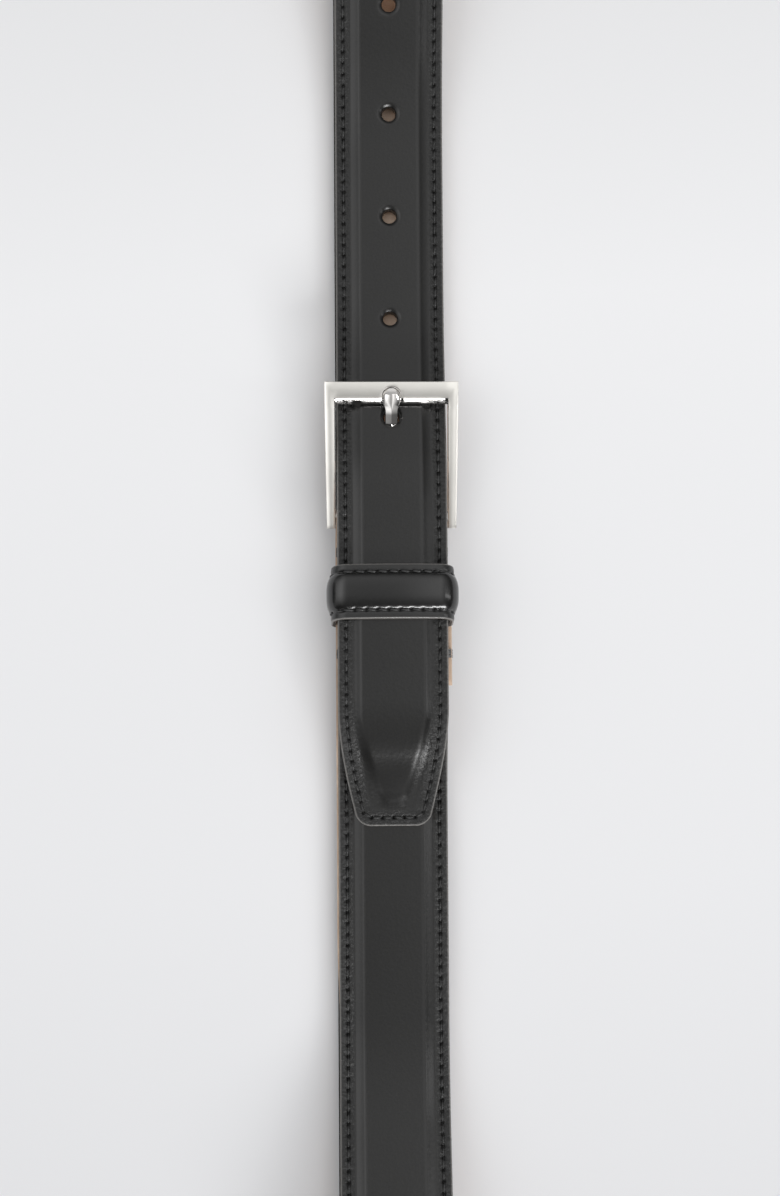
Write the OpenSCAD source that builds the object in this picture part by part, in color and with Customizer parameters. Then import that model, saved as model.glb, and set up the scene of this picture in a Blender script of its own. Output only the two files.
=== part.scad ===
// Dress belt with a pin buckle, buckled and laid flat as a closed loop.
// +Z is up, +Y runs along the loop towards the fastening holes, and the origin is on the
// table under the middle of the loop.
$fn = 96;

/* [Strap] */
// Width of the strap
strap_w = 30; // [24:1:35]
// Thickness of the outer leather
outer_t = 1.0; // [0.8:0.1:1.2]
// Thickness of the core under the raised centre
core_t = 1.2; // [0.8:0.1:1.6]
// Thickness of the lining
lining_t = 1.2; // [0.9:0.1:1.4]
// Half the length of the flattened loop
loop_half = 240; // [200:5:280]
// Inner radius of the bend at each end of the loop
bend_r = 12; // [10:1:14]
// Distance between fastening holes
hole_pitch = 29; // [25:1:30]
// Diameter of a free fastening hole
hole_d = 4; // [3:0.5:5]

/* [Buckle] */
// Distance from the middle of the loop to the heel bar
bar_y = 18; // [10:1:30]
// Diameter of the heel bar
bar_d = 3; // [2.5:0.1:3.2]
// Width across the frame at its front bar
frame_w = 36.6; // [34:0.2:42]
// Upward slope of the frame, from the heel bar to the front bar
frame_tilt = 9; // [6:1:12]

/* [Keeper] */
// Length of the keeper along the strap
keeper_l = 14.8; // [10:0.2:18]
// Distance from the heel bar to the middle of the keeper
keeper_back = 21.3; // [20:0.1:24]

/* [Hidden] */

// Cross-section of the strap, in distance from its middle and height above the lining's face.
half_w = strap_w / 2;
crown_x = half_w - 5.75;     // half the width of the core
riser = 1;                   // outer leather's thickness at the core's sides
crown_out = crown_x + riser;
margin_h = lining_t + outer_t;
crown_h = margin_h + core_t;
seam_x = half_w - 2.3;
thread_w = 0.5;
thread_t = 0.15;

// Heights of the lining's face above the table, from the lowest run to the top one.
layer_gap = 0.2;
back_z = crown_h;                                 // back run, lining upwards
front_z = back_z + layer_gap;                     // front run where it lies on the back run
flap_z = back_z + 1.2 + margin_h;                 // flap, lining upwards
fold_r = bar_d / 2 + 0.1;                         // lining's face round the heel bar
bar_z = flap_z + fold_r;
under_z = flap_z + 1.8;                           // buckle end of the strap, in the keeper
over_z = bar_z + fold_r + margin_h + 0.25;        // holed end of the strap, in the keeper
tail_z = front_z + crown_h + 0.25;                // tip of the strap, on the buckle end

// Places along Y, measured back from the heel bar.
flap_l = 46.6;
core_back = 10;                                   // core starts this far behind the bar
hinge_back = 36.5;                                // free tail starts here
taper_back = 53;                                  // tip starts to narrow
tip_back = 84.7;
crown_end_back = 77.6;                            // raised centre ends in a point
hinge_y = bar_y - hinge_back;

// Bends of the path. An S-bend is two equal arcs that change the height by dz.
function s_angle(dz, r) = acos(1 - dz / (2 * r));
function s_length(dz, r) = 2 * r * sin(s_angle(dz, r));
fold_s_r = 14;
drop_s_r = 40;
flat_back = 50;                                   // strap is level from the fold to here
rise_a = 15;                                      // slope of the run up to an end bend
rise_r = 120;
rise_l = (bend_r * (1 + cos(rise_a)) - rise_r * (1 - cos(rise_a)) - layer_gap) / sin(rise_a);
bend_y = loop_half - crown_h - bend_r;            // centre of an end bend
rise_y = bend_y - bend_r * sin(rise_a) - rise_l * cos(rise_a) - rise_r * sin(rise_a);
ramp_a = 12;                                      // slope up to the buckle
ramp_low_r = 100;
ramp_high_r = 60;
ramp_top_y = bar_y + 4;
ramp_l = (over_z - front_z - (ramp_low_r + ramp_high_r) * (1 - cos(ramp_a))) / sin(ramp_a);
ramp_y = ramp_top_y + (ramp_low_r + ramp_high_r) * sin(ramp_a) + ramp_l * cos(ramp_a);
level_y = bar_y - flat_back - s_length(under_z - front_z, drop_s_r);

// A path is a list of [length, 0] for a straight and [radius, angle] for an arc, where a
// positive angle turns left. A place is [y, z, heading].
function flap_path() = [[flap_l, 0], [fold_r, 180]];
function buckle_end_path() = let(
        a = s_angle(bar_z + fold_r - under_z, fold_s_r),
        b = s_angle(under_z - front_z, drop_s_r))
    [
        [fold_s_r, a], [fold_s_r, -a],
        [flat_back - s_length(bar_z + fold_r - under_z, fold_s_r), 0],
        [drop_s_r, b], [drop_s_r, -b],
        [level_y + rise_y, 0]
    ];
function end_bend_path() = [
        [rise_r, -rise_a], [rise_l, 0], [bend_r, 180 + rise_a],
        [2 * bend_y, 0],
        [bend_r, 180 + rise_a], [rise_l, 0], [rise_r, -rise_a]
    ];
function holed_path() = [
        [rise_y - ramp_y, 0],
        [ramp_low_r, -ramp_a], [ramp_l, 0], [ramp_high_r, ramp_a],
        [ramp_top_y - hinge_y, 0]
    ];
function tail_path() = let(a = s_angle(over_z - tail_z, drop_s_r))
    [
        [flat_back - hinge_back, 0], [drop_s_r, a], [drop_s_r, -a],
        [tip_back - flat_back - s_length(over_z - tail_z, drop_s_r), 0]
    ];

flap_start = [bar_y - flap_l, flap_z, 0];
tail_start = [hinge_y - 0.15, over_z, 180];

// Place at the end of one piece of a path.
function step(p, s) = let(h = p[2], r = s[0], a = s[1])
    a == 0 ? [p[0] + r * cos(h), p[1] + r * sin(h), h]
    : a > 0 ? [p[0] + r * (sin(h + a) - sin(h)), p[1] + r * (cos(h) - cos(h + a)), h + a]
    : [p[0] + r * (sin(h) - sin(h + a)), p[1] + r * (cos(h + a) - cos(h)), h + a];

// Points of a path's line at a height above it. An arc is cut into short chords.
chord_a = 7.5;
least_chords = 3;
function chords(s) = s[1] == 0 ? 1 : max(least_chords, ceil(abs(s[1]) / chord_a));
function raise(p, h) = [p[0] + h * sin(p[2]), p[1] - h * cos(p[2])];
function line_points(path, p, h, i = 0) =
    i == len(path) ? []
    : let(n = chords(path[i]), s = path[i])
        concat([for (k = [(i == 0 ? 0 : 1):n])
                    raise(step(p, s[1] == 0 ? [s[0] * k / n, 0] : [s[0], s[1] * k / n]), h)],
               line_points(path, step(p, s), h, i + 1));
function reversed(v) = [for (i = [len(v) - 1:-1:0]) v[i]];

// A strip of one layer: from x0 to x1 across the strap and from h0 to h1 above its line.
module strip(x0, x1, h0, h1, path, place)
    translate([x0, 0, 0]) rotate([90, 0, 90]) linear_extrude(x1 - x0)
        polygon(concat(line_points(path, place, h0), reversed(line_points(path, place, h1))));

// The strap runs from the end of the flap, round the heel bar and the loop, to the free tail.
// Its core starts behind the fold and lies in a pocket of the outer leather.
function all_path() = concat(flap_path(), buckle_end_path(), end_bend_path(), holed_path());
function raised_path() = concat([[flat_back - core_back, 0]],
                                [for (i = [3:5]) buckle_end_path()[i]],
                                end_bend_path(), holed_path());
function core_path() = concat([[flat_back - core_back - riser, 0]],
                              [for (i = [1:len(raised_path()) - 1]) raised_path()[i]]);
function flat_path() = concat(flap_path(), [for (i = [0:1]) buckle_end_path()[i]],
    [[core_back + join - s_length(bar_z + fold_r - under_z, fold_s_r), 0]]);
core_start = [bar_y - core_back, under_z, 180];
join = 0.02;

// Fastening holes. The prong stands in the first one, a slot on the slope at the buckle.
hole_one = 26.1;                                  // from the heel bar to the first hole
slot_d = 4.4;
slot_l = 6.4;
slot_shift = 0.95;                                // worn by the prong, towards the heel bar
free_holes = [for (i = [1:4]) bar_y + hole_one + i * hole_pitch];
function ramp_z(y) = let(d = y - ramp_top_y - ramp_high_r * sin(ramp_a))
    over_z - ramp_high_r * (1 - cos(ramp_a)) - d * tan(ramp_a);
module slot_one() {
    y = bar_y + hole_one;
    translate([0, y, ramp_z(y)]) rotate([-ramp_a, 0, 0]) translate([0, -slot_shift, -2]) {
        for (s = [-1, 1])
            translate([0, s * (slot_l - slot_d) / 2, 0]) cylinder(d = slot_d, h = 9);
        translate([-slot_d / 2, -(slot_l - slot_d) / 2, 0])
            cube([slot_d, slot_l - slot_d, 9]);
    }
}
// A free hole is square to the strap: on the ramp, on the arc at its foot, on the level or on
// the way to the bend.
function free_place(y) =
    y < ramp_y - ramp_low_r * sin(ramp_a) ? [ramp_z(y), -ramp_a]
    : y < ramp_y ? let(a = asin((y - ramp_y) / ramp_low_r))
        [front_z + ramp_low_r * (1 - cos(a)), a]
    : y < rise_y ? [front_z, 0]
    : y < rise_y + rise_r * sin(rise_a) ? let(a = asin((y - rise_y) / rise_r))
        [front_z + rise_r * (1 - cos(a)), a]
    : [front_z + rise_r * (1 - cos(rise_a))
        + (y - rise_y - rise_r * sin(rise_a)) * tan(rise_a), rise_a];
module free_hole(y) {
    place = free_place(y);
    translate([0, y, place[0]]) rotate([place[1], 0, 0]) translate([0, 0, -0.1])
        cylinder(d = hole_d, h = crown_h + 1);
}
module holes() {
    slot_one();
    for (y = free_holes) free_hole(y);
}
// Slot in the fold that lets the prong swing.
prong_slot_w = 5;
module fold_slot() {
    translate([-prong_slot_w / 2, bar_y - 4.4, flap_z - margin_h - 1])
        cube([prong_slot_w, 9, over_z - flap_z + margin_h + 0.9]);
}

module bar_room() {
    translate([-strap_w, bar_y, bar_z]) rotate([0, 90, 0])
        cylinder(r = fold_r, h = 2 * strap_w);
}

module strap_outer() color("#2c2b2a") difference() {
    union() {
        for (side = [0, 1]) mirror([side, 0, 0]) {
            strip(crown_x, half_w, lining_t, margin_h, all_path(), flap_start);
            strip(crown_x, crown_out, lining_t, crown_h, raised_path(), core_start);
        }
        strip(-crown_x, crown_x, lining_t, margin_h, flat_path(), flap_start);
        strip(-crown_out, crown_out, lining_t, crown_h, [[riser, 0]], core_start);
        strip(-crown_x, crown_x, lining_t + core_t, crown_h, raised_path(), core_start);
    }
    holes();
    fold_slot();
}
module strap_core() color("#8a7458") difference() {
    strip(-crown_x, crown_x, lining_t, lining_t + core_t, core_path(),
          step(core_start, [riser, 0]));
    holes();
}
module strap_lining() color("#a97c4f") difference() {
    strip(-half_w, half_w, 0, lining_t, all_path(), flap_start);
    holes();
    fold_slot();
    bar_room();
}
module seam_thread(side, path, place)
    strip(side * seam_x - thread_w / 2, side * seam_x + thread_w / 2,
          margin_h, margin_h + thread_t, path, place);
module seam_thread_left() color("#111111") seam_thread(-1, raised_path(), core_start);
module seam_thread_right() color("#111111") seam_thread(1, raised_path(), core_start);

// Thread wrapped round both edges of the buckle end and the flap under it.
tack_l = 2.4;
tack_in = 1.6;
tack_t = 0.3;
module bar_tack_pair(back) {
    y = bar_y - back - tack_l;
    low = flap_z - margin_h;
    high = under_z + margin_h;
    for (side = [0, 1]) mirror([side, 0, 0]) difference() {
        translate([half_w - tack_in, y, low - tack_t])
            cube([tack_in + tack_t, tack_l, high - low + 2 * tack_t]);
        translate([half_w - tack_in - 1, y - 1, low])
            cube([tack_in + 1, tack_l + 2, high - low]);
    }
}
module bar_tacks_front() color("#111111") bar_tack_pair(8.9);
module bar_tacks_rear() color("#111111") bar_tack_pair(36.2);

// Outline of the tip, drawn inwards by a margin. Its blunt end has round corners.
end_half = 9.6;
corner_r = 3.3;
taper_y = bar_y - taper_back;
tip_y = bar_y - tip_back;
function tip_side(inset) = let(w = half_w - inset, e = end_half - 0.8 * inset, low = tip_y + inset)
    concat([[w, hinge_y + 1], [w, taper_y], [(w + e) / 2 + 0.9, (taper_y + tip_y) / 2]],
           [for (a = [0:-15:-90]) [e - corner_r, low + corner_r] + corner_r * [cos(a), sin(a)]]);
module tip_outline(inset)
    polygon(concat(tip_side(inset), [for (p = reversed(tip_side(inset))) [-p[0], p[1]]]));
module crown_outline(grow) {
    crown_taper = (taper_y + tip_y) / 2 + 8;
    polygon([
        [-crown_x - grow, hinge_y + 1], [crown_x + grow, hinge_y + 1],
        [crown_x + grow, crown_taper], [0, bar_y - crown_end_back - grow],
        [-crown_x - grow, crown_taper]
    ]);
}
module tail_strip(h0, h1) strip(-half_w, half_w, h0, h1, tail_path(), tail_start);
module cut_out() intersection() {
    children(0);
    linear_extrude(loop_half) children(1);
}
module tail_outer() color("#2c2b2a") {
    cut_out() {
        tail_strip(lining_t, margin_h);
        difference() {
            tip_outline(0);
            crown_outline(0);
        }
    }
    cut_out() {
        tail_strip(lining_t, crown_h);
        difference() {
            crown_outline(riser);
            crown_outline(0);
        }
    }
    cut_out() {
        tail_strip(lining_t + core_t, crown_h);
        crown_outline(riser);
    }
}
module tail_core() color("#8a7458") cut_out() {
    tail_strip(lining_t, lining_t + core_t);
    crown_outline(0);
}
module tail_lining() color("#a97c4f") cut_out() {
    tail_strip(0, lining_t);
    tip_outline(0);
}
module tail_seam_thread() color("#111111") cut_out() {
    tail_strip(margin_h, margin_h + thread_t);
    difference() {
        tip_outline(2.05);
        tip_outline(2.55);
    }
}

// The frame is drawn level round the heel bar's axis and then sloped.
side_w = 2.9;                                     // width of a side arm at the front
side_t = 3.2;
frame_front = 36.8;                               // from the axis to the front edge
front_l = 6.2;
frame_heel = 3.2;                                 // from the axis to the arms' ends
front_low = -1.0;
front_t = 2.4;
arm_in = frame_w / 2 - side_w;
arm_out_heel = frame_w / 2 - 0.5;
seat_floor = 0.35;                                // floor of the prong's seat
seat_w = 4.7;
pin_seat = 1.1;                                   // depth of the heel bar in each arm
module at_bar() { translate([0, bar_y, bar_z]) rotate([frame_tilt, 0, 0]) children(); }
module buckle_frame() color("#d8d4cc") at_bar() difference() {
    union() {
        for (side = [0, 1]) mirror([side, 0, 0])
            translate([0, 0, -side_t / 2]) linear_extrude(side_t)
                polygon([
                    [arm_in, -frame_heel], [arm_out_heel, -frame_heel],
                    [frame_w / 2, frame_front - front_l], [arm_in, frame_front - front_l]
                ]);
        translate([-frame_w / 2, frame_front - front_l, front_low])
            cube([frame_w, front_l, front_t]);
    }
    rotate([0, 90, 0]) translate([0, 0, -arm_in - pin_seat])
        cylinder(d = bar_d, h = 2 * (arm_in + pin_seat));
    translate([-seat_w / 2, frame_front - front_l - 1, seat_floor])
        cube([seat_w, front_l - 0.6, front_t]);
}
module heel_bar() color("#b9b9b9") at_bar()
    rotate([0, 90, 0]) translate([0, 0, -arm_in - pin_seat])
        cylinder(d = bar_d, h = 2 * (arm_in + pin_seat));

// The prong: an eye on the heel bar, a shank under the strap, a knee up through the slot and a
// flat end that rests in its seat on the front bar. Its middle line is drawn level, as the frame.
eye_clearance = 0.08;
eye_r = 2.8;
prong_w = 3.6;
prong_t = 1.8;
prong_line = [[0, 2.2], [19.8, -5.8], [23, -5.6], [26.9, 1.5], [34.3, 1.5]];
module prong() color("#dddddd") at_bar() rotate([90, 0, 90]) difference() {
    translate([0, 0, -prong_w / 2]) linear_extrude(prong_w) {
        circle(eye_r);
        for (i = [0:len(prong_line) - 2]) {
            from = prong_line[i];
            d = prong_line[i + 1] - from;
            translate(from) rotate(atan2(d[1], d[0])) translate([0, -prong_t / 2])
                square([norm(d), prong_t]);
            translate(prong_line[i + 1]) circle(prong_t / 2);
        }
    }
    translate([0, 0, -prong_w]) cylinder(d = bar_d + 2 * eye_clearance, h = 2 * prong_w);
}

// The keeper is a band of nested rounded boxes, cut to its length along Y.
play = 0.3;
keeper_in = half_w + 0.5;
keeper_low = under_z - play;                      // inside, under the strap
keeper_high = over_z + crown_h + play;            // inside, over the strap
keeper_y = bar_y - keeper_back;
band_t = 0.6;                                     // each layer of the thin lower wall
module rounded(half, low, high, r) {
    h = high - low;
    translate([0, low]) {
        translate([-half + r, 0]) square([2 * (half - r), h]);
        translate([-half, r]) square([2 * half, h - 2 * r]);
        for (x = [-half + r, half - r], y = [r, h - r]) translate([x, y]) circle(r);
    }
}
module along_keeper(length, shift = 0) {
    translate([0, keeper_y + shift + length / 2, 0]) rotate([90, 0, 0])
        linear_extrude(length) children();
}
module staple_shape() {
    wire = 0.5;
    span = 8;
    translate([-span / 2, keeper_y - wire / 2, keeper_low - wire]) cube([span, wire, wire]);
    for (x = [-span / 2, span / 2 - wire])
        translate([x, keeper_y - wire / 2, keeper_low - 2 * band_t])
            cube([wire, wire, 2 * band_t]);
}
module keeper_outer() color("#2c2b2a") difference() {
    along_keeper(keeper_l) difference() {
        rounded(keeper_in + 2.5, keeper_low - 2 * band_t, keeper_high + 2.4, 2.8);
        rounded(keeper_in + 1.5, keeper_low - band_t, keeper_high + 1.4, 1.9);
    }
    staple_shape();
}
module keeper_padding() color("#8a7458") along_keeper(keeper_l - 2) difference() {
    rounded(keeper_in + 1.5, keeper_low - band_t, keeper_high + 1.4, 1.9);
    rounded(keeper_in + 0.7, keeper_low - band_t, keeper_high + 0.7, 1.2);
    translate([-strap_w, 0]) square([2 * strap_w, keeper_low + 0.8]);
}
module keeper_lining() color("#332e2a") difference() {
    along_keeper(keeper_l) difference() {
        rounded(keeper_in + 0.7, keeper_low - band_t, keeper_high + 0.7, 1.2);
        rounded(keeper_in, keeper_low, keeper_high, 0.6);
    }
    staple_shape();
}
row_shift = 5.15;
module keeper_thread(shift) {
    along_keeper(thread_w, shift) difference() {
        rounded(keeper_in + 2.5 + thread_t, keeper_low - 2 * band_t, keeper_high + 2.4 + thread_t,
                2.8 + thread_t);
        rounded(keeper_in + 2.5, keeper_low - 2 * band_t, keeper_high + 2.4, 2.8);
        translate([-strap_w, 0]) square([2 * strap_w, keeper_low + 2]);
    }
}
module keeper_thread_front() color("#111111") keeper_thread(row_shift);
module keeper_thread_rear() color("#111111") keeper_thread(-row_shift);
module keeper_staple() color("#9a9a9a") staple_shape();

strap_outer();
strap_core();
strap_lining();
seam_thread_left();
seam_thread_right();
bar_tacks_front();
bar_tacks_rear();
tail_outer();
tail_core();
tail_lining();
tail_seam_thread();
buckle_frame();
heel_bar();
prong();
keeper_outer();
keeper_padding();
keeper_lining();
keeper_thread_front();
keeper_thread_rear();
keeper_staple();
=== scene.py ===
"""The looks of a black leather dress belt, closed and laid flat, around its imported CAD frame.

Lengths in this script are millimetres until a mesh is made, and MM turns them into metres.
"""

import math
import random

import bmesh
import bpy
import numpy as np
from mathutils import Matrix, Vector


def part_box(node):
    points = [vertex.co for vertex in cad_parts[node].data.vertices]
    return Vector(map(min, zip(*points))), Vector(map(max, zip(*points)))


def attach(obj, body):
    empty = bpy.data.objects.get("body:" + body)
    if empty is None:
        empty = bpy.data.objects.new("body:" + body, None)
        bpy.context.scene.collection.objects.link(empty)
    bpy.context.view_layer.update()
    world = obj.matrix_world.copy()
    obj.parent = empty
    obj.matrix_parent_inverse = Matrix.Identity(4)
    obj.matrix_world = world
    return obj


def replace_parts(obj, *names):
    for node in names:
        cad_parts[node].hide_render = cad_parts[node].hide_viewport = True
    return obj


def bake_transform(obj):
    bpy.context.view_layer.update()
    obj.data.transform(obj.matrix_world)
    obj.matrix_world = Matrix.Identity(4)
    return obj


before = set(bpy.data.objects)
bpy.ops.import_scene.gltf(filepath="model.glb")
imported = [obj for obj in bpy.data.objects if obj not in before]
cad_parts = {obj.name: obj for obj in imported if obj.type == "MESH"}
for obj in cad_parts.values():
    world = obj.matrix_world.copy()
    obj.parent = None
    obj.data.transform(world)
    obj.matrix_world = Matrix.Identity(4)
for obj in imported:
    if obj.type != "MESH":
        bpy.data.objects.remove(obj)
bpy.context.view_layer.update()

MM = 0.001
scene = bpy.context.scene
collection = scene.collection


def mm_box(node):
    """Lowest and highest corner of a CAD node, in millimetres."""
    low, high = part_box(node)
    return np.array(low) / MM, np.array(high) / MM


# ---- real sizes
HALF_W = 15.0
LINING_T = 1.2
OUTER_T = 1.0
CORE_T = 1.2
MARGIN_H = LINING_T + OUTER_T
CROWN_H = MARGIN_H + CORE_T
CROWN_X = 9.25
SHOULDER_IN = 8.3
SHOULDER_X = 11.25
SEAM_IN = 2.3
STITCH = 3.0
HOLE_R = 1.92

bar_low, bar_high = mm_box("heel_bar")
BAR_Y, BAR_Z = ((bar_low + bar_high) / 2)[1:]
FRAME_TILT = math.radians(9.0)
keeper_low, keeper_high = mm_box("keeper_outer")
KEEPER_Y = (keeper_low[1] + keeper_high[1]) / 2
TIP_Y = mm_box("tail_outer")[0][1]
LOOP_HALF = mm_box("strap_outer")[1][1]
FOLD_R = 1.6

# Heights of the lining's face above the table.
BACK_Z = CROWN_H
FRONT_Z = BACK_Z + 0.2
FLAP_Z = BACK_Z + 1.2 + MARGIN_H
UNDER_Z = FLAP_Z + 1.8
OVER_Z = BAR_Z + FOLD_R + MARGIN_H + 0.25
TAIL_Z = FRONT_Z + CROWN_H + 0.25

# Distances back from the heel bar, and the bends of the run.
FLAP_L = 46.6
CORE_BACK = 10.0
TAPER_BACK = 53.0
TIP_BACK = BAR_Y - TIP_Y
FLAT_BACK = 50.0
FOLD_S_R = 14.0
DROP_R = 40.0
BEND_R = 12.0
RISE_A = 15.0
RISE_R = 120.0
RAMP_A = 12.0
RAMP_LOW_R = 100.0
RAMP_HIGH_R = 60.0
RAMP_TOP_Y = BAR_Y + 4.0
HOLE_ONE = 26.1
HOLE_PITCH = 29.0
JOIN_Y = -5.0


def sin(a):
    return math.sin(math.radians(a))


def cos(a):
    return math.cos(math.radians(a))


def s_angle(dz, r):
    return math.degrees(math.acos(1 - dz / (2 * r)))


def s_length(dz, r):
    return 2 * r * sin(s_angle(dz, r))


# ---- the strap's run
# One line from the end of the flap, round the heel bar and the loop, to the tip: straights
# (length, 0) and arcs (radius, angle), as the CAD has them. A place is (y, z, heading).
RISE_L = (BEND_R * (1 + cos(RISE_A)) - RISE_R * (1 - cos(RISE_A)) - 0.2) / sin(RISE_A)
BEND_Y = LOOP_HALF - CROWN_H - BEND_R
RISE_Y = BEND_Y - BEND_R * sin(RISE_A) - RISE_L * cos(RISE_A) - RISE_R * sin(RISE_A)
RAMP_R = RAMP_LOW_R + RAMP_HIGH_R
RAMP_L = (OVER_Z - FRONT_Z - RAMP_R * (1 - cos(RAMP_A))) / sin(RAMP_A)
RAMP_Y = RAMP_TOP_Y + RAMP_R * sin(RAMP_A) + RAMP_L * cos(RAMP_A)
FOLD_DROP = BAR_Z + FOLD_R - UNDER_Z
LEVEL_Y = BAR_Y - FLAT_BACK - s_length(UNDER_Z - FRONT_Z, DROP_R)
FOLD_A = s_angle(FOLD_DROP, FOLD_S_R)
DROP_A = s_angle(UNDER_Z - FRONT_Z, DROP_R)
TAIL_A = s_angle(OVER_Z - TAIL_Z, DROP_R)
TIP_L = TIP_BACK - FLAT_BACK - s_length(OVER_Z - TAIL_Z, DROP_R)
RUN = [
    (FLAP_L, 0), (FOLD_R, 180),
    (FOLD_S_R, FOLD_A), (FOLD_S_R, -FOLD_A),
    (FLAT_BACK - s_length(FOLD_DROP, FOLD_S_R), 0),
    (DROP_R, DROP_A), (DROP_R, -DROP_A), (LEVEL_Y + RISE_Y, 0),
    (RISE_R, -RISE_A), (RISE_L, 0), (BEND_R, 180 + RISE_A),
    (2 * BEND_Y, 0),
    (BEND_R, 180 + RISE_A), (RISE_L, 0), (RISE_R, -RISE_A),
    (RISE_Y - RAMP_Y, 0), (RAMP_LOW_R, -RAMP_A), (RAMP_L, 0), (RAMP_HIGH_R, RAMP_A),
    (RAMP_TOP_Y - BAR_Y + FLAT_BACK, 0),
    (DROP_R, TAIL_A), (DROP_R, -TAIL_A), (TIP_L, 0),
]
# Where these are in marks, which has the length at the start of each leg of the run.
FOLD_START = 1
FOLD_END = 2
RISE_START = 8
FIRST_BEND = 10
LAST_BEND_END = 13


def step(p, leg):
    """The place at the end of one leg of the run."""
    y, z, h = p
    r, a = leg
    if a == 0:
        return (y + r * cos(h), z + r * sin(h), h)
    if a > 0:
        return (y + r * (sin(h + a) - sin(h)), z + r * (cos(h) - cos(h + a)), h + a)
    return (y + r * (sin(h) - sin(h + a)), z + r * (cos(h + a) - cos(h)), h + a)


starts = [(BAR_Y - FLAP_L, FLAP_Z, 0.0)]
marks = [0.0]
for leg in RUN:
    starts.append(step(starts[-1], leg))
    marks.append(marks[-1] + (leg[0] if leg[1] == 0 else leg[0] * math.radians(abs(leg[1]))))
marks = np.array(marks)


def place(s):
    i = int(min(max(np.searchsorted(marks, s, side="right") - 1, 0), len(RUN) - 1))
    d = s - marks[i]
    r, a = RUN[i]
    if a == 0:
        return step(starts[i], (d, 0))
    return step(starts[i], (r, math.copysign(math.degrees(d / r), a)))


TABLE_S = np.arange(0, marks[-1] + 0.1, 0.1)
TABLE = np.array([place(s) for s in TABLE_S])


def same_shape(*values):
    return np.broadcast_arrays(*[np.asarray(v, float) for v in values])


def spot(x, s, h):
    """World points (millimetres) of places across, along and above the strap."""
    x, s, h = same_shape(x, s, h)
    y = np.interp(s, TABLE_S, TABLE[:, 0])
    z = np.interp(s, TABLE_S, TABLE[:, 1])
    a = np.radians(np.interp(s, TABLE_S, TABLE[:, 2]))
    return np.stack([x, y + h * np.sin(a), z - h * np.cos(a)], axis=-1)


def s_on_top(y):
    """Distance along the run to a Y on the upper, holed half of the loop."""
    top = TABLE_S > marks[LAST_BEND_END]
    return float(np.interp(-y, -TABLE[top, 0], TABLE_S[top]))


def s_below(y):
    """Distance along the run to a Y on the buckle end."""
    low = (TABLE_S > marks[FOLD_END]) & (TABLE_S < marks[RISE_START])
    return float(np.interp(-y, -TABLE[low, 0], TABLE_S[low]))


S_CORE = s_below(BAR_Y - CORE_BACK)
S_JOIN = s_on_top(JOIN_Y)
S_TIP = float(marks[-1])
HOLE_Y = [BAR_Y + HOLE_ONE + i * HOLE_PITCH for i in range(5)]


def smooth(t):
    t = np.clip(t, 0, 1)
    return t * t * (3 - 2 * t)


# ---- meshes
def turn_outwards(mesh):
    bm = bmesh.new()
    bm.from_mesh(mesh)
    bmesh.ops.recalc_face_normals(bm, faces=bm.faces)
    bm.to_mesh(mesh)
    bm.free()


def add_mesh(name, points, faces, material, uv=None, grain=None, rim_highlight=None, flat=False):
    """A new mesh object from millimetre points. uv, grain and rim_highlight, the mask of the
    painted highlight on cut edges, are given per point.
    """
    mesh = bpy.data.meshes.new(name)
    mesh.from_pydata((np.asarray(points) * MM).tolist(), [], faces)
    mesh.validate()
    if len(faces) > 1:
        turn_outwards(mesh)
    if not flat:
        mesh.shade_smooth()
    corner = np.zeros(len(mesh.loops), np.int32)
    mesh.loops.foreach_get("vertex_index", corner)
    if uv is not None:
        layer = mesh.uv_layers.new(name="UVMap")
        layer.data.foreach_set("uv", np.asarray(uv, np.float32)[corner].ravel())
    for key, values in (("grain", grain), ("rim_highlight", rim_highlight)):
        if values is not None:
            data = mesh.attributes.new(key, "FLOAT", "POINT")
            data.data.foreach_set("value", np.asarray(values, np.float32))
    mesh.materials.append(material)
    obj = bpy.data.objects.new(name, mesh)
    collection.objects.link(obj)
    return obj


UV_PER_MM = 0.01


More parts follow.
